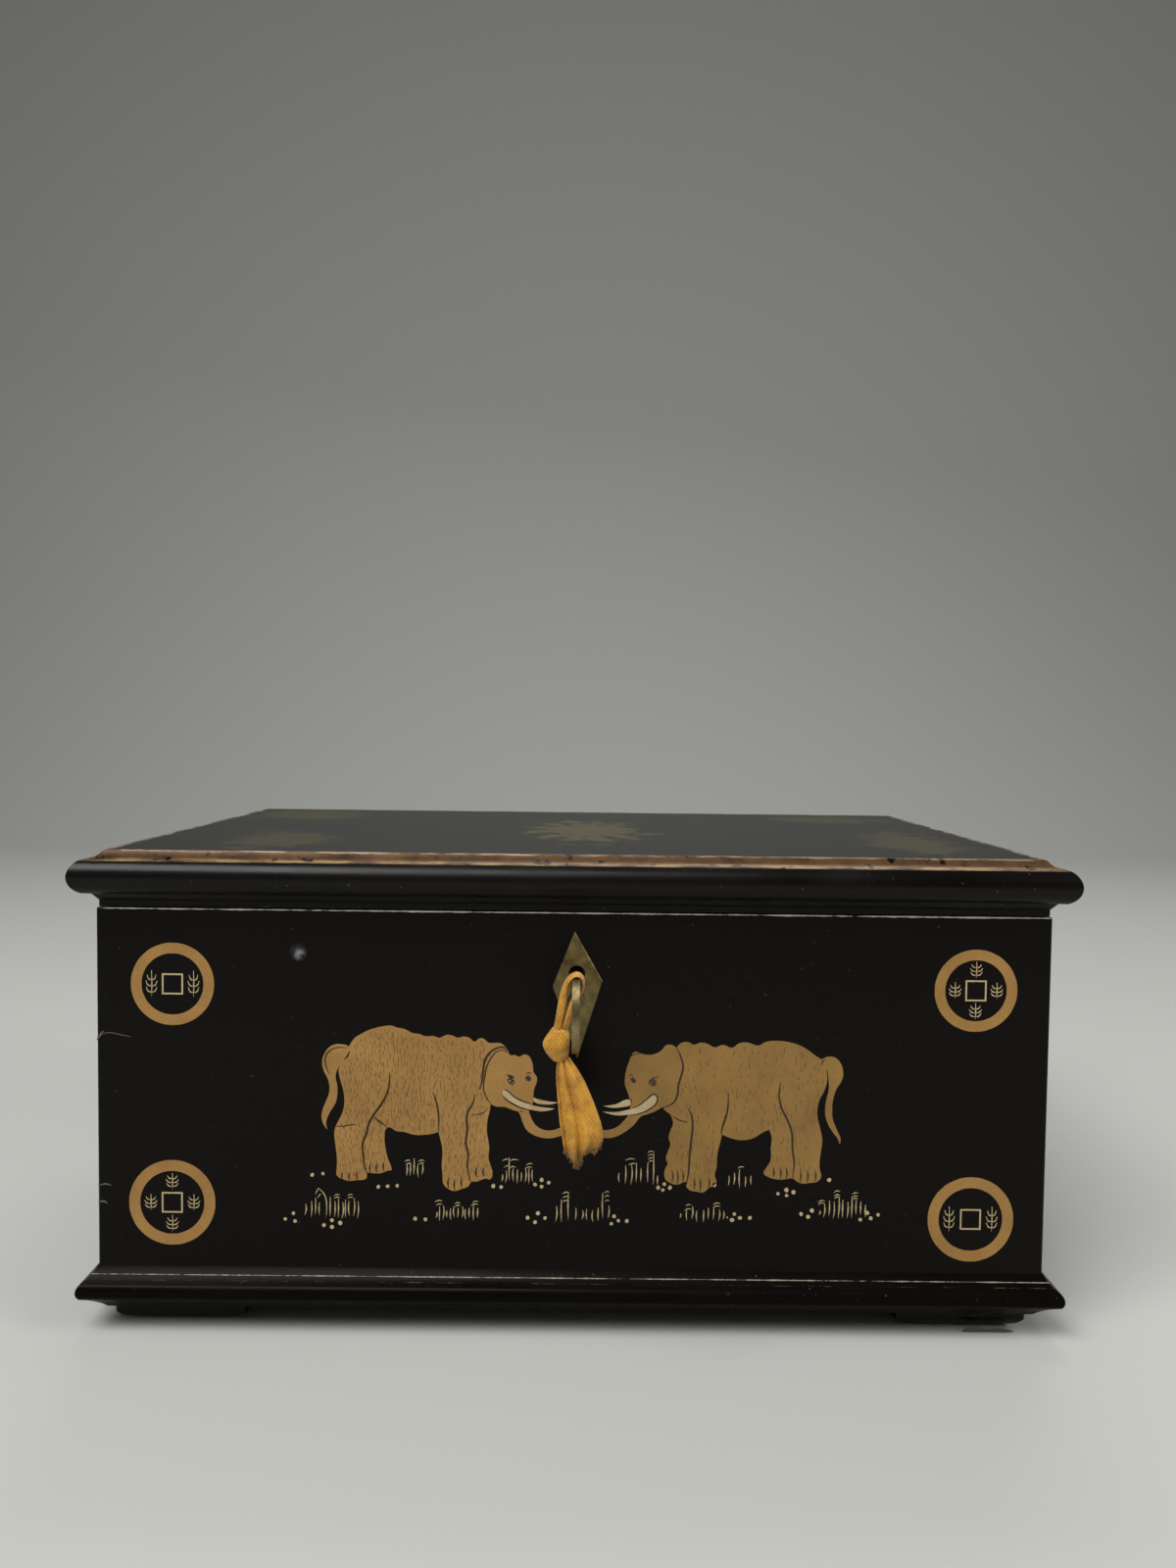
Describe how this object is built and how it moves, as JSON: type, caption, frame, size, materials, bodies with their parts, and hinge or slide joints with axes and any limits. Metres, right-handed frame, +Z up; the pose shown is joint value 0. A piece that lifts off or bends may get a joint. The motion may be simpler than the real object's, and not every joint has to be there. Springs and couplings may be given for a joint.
{
  "type": "hinged-lid box with lock",
  "caption": "Black lacquered wooden box with a hinged, moulded lid, box lock, key on a silk ribbon, plinth moulding and low bracket feet.",
  "frame": {"origin": "on the surface that the feet stand on, midway between the front and back boards and between the end boards", "axes": "+X to the right seen from the lock's side, +Y to the back, +Z up"},
  "size_m": [0.3548, 0.2748, 0.1732],
  "materials": {
    "black_lacquer": "aged black lacquer over wood",
    "aged_brass": "dull, aged",
    "spring_steel": "plain",
    "silk_ribbon": "golden silk, frayed at the end"
  },
  "bodies": {
    "case": {"case_front_board": "black_lacquer", "case_back_board": "black_lacquer", "case_left_board": "black_lacquer", "case_right_board": "black_lacquer", "case_bottom_board": "black_lacquer", "plinth_front": "black_lacquer", "plinth_back": "black_lacquer", "plinth_left": "black_lacquer", "plinth_right": "black_lacquer", "foot_front_left": "black_lacquer", "foot_front_right": "black_lacquer", "foot_back_left": "black_lacquer", "foot_back_right": "black_lacquer", "escutcheon": "aged_brass", "lock_plate": "aged_brass", "lock_cover": "aged_brass", "lock_screws": "aged_brass", "hinge_left_case_leaf": "aged_brass", "hinge_right_case_leaf": "aged_brass", "hinge_left_pin": "aged_brass", "hinge_right_pin": "aged_brass", "hinge_case_screws": "aged_brass", "lock_spring": "spring_steel"},
    "lid": {"lid_panel": "black_lacquer", "lid_moulding_front": "black_lacquer", "lid_moulding_back": "black_lacquer", "lid_moulding_left": "black_lacquer", "lid_moulding_right": "black_lacquer", "link_plate": "aged_brass", "link_lugs": "aged_brass", "link_screws": "aged_brass", "hinge_left_lid_leaf": "aged_brass", "hinge_right_lid_leaf": "aged_brass", "hinge_lid_screws": "aged_brass"},
    "key": {"key": "aged_brass", "ribbon_loop": "silk_ribbon", "ribbon_knot": "silk_ribbon", "ribbon_tail": "silk_ribbon"},
    "bolt": {"lock_bolt": "aged_brass"}
  },
  "joints": [
    {"name": "lid_hinge", "type": "hinge", "parent": "case", "child": "lid", "pos_m": [0, 0.111, 0.15315], "axis": [-1, 0, 0], "range_deg": [0, 135]},
    {"name": "key_turn", "type": "hinge", "parent": "case", "child": "key", "pos_m": [0.0007, -0.1117, 0.1299], "axis": [0, 0.9903, 0.1392], "range_deg": [0, 360]},
    {"name": "bolt_slide", "type": "slide", "parent": "case", "child": "bolt", "axis": [1, 0, 0], "range_m": [0, 0.006]}
  ],
  "couplings": [
    {"joint": "bolt_slide", "follows": "key_turn", "m_per_rad": 0.000954}
  ]
}
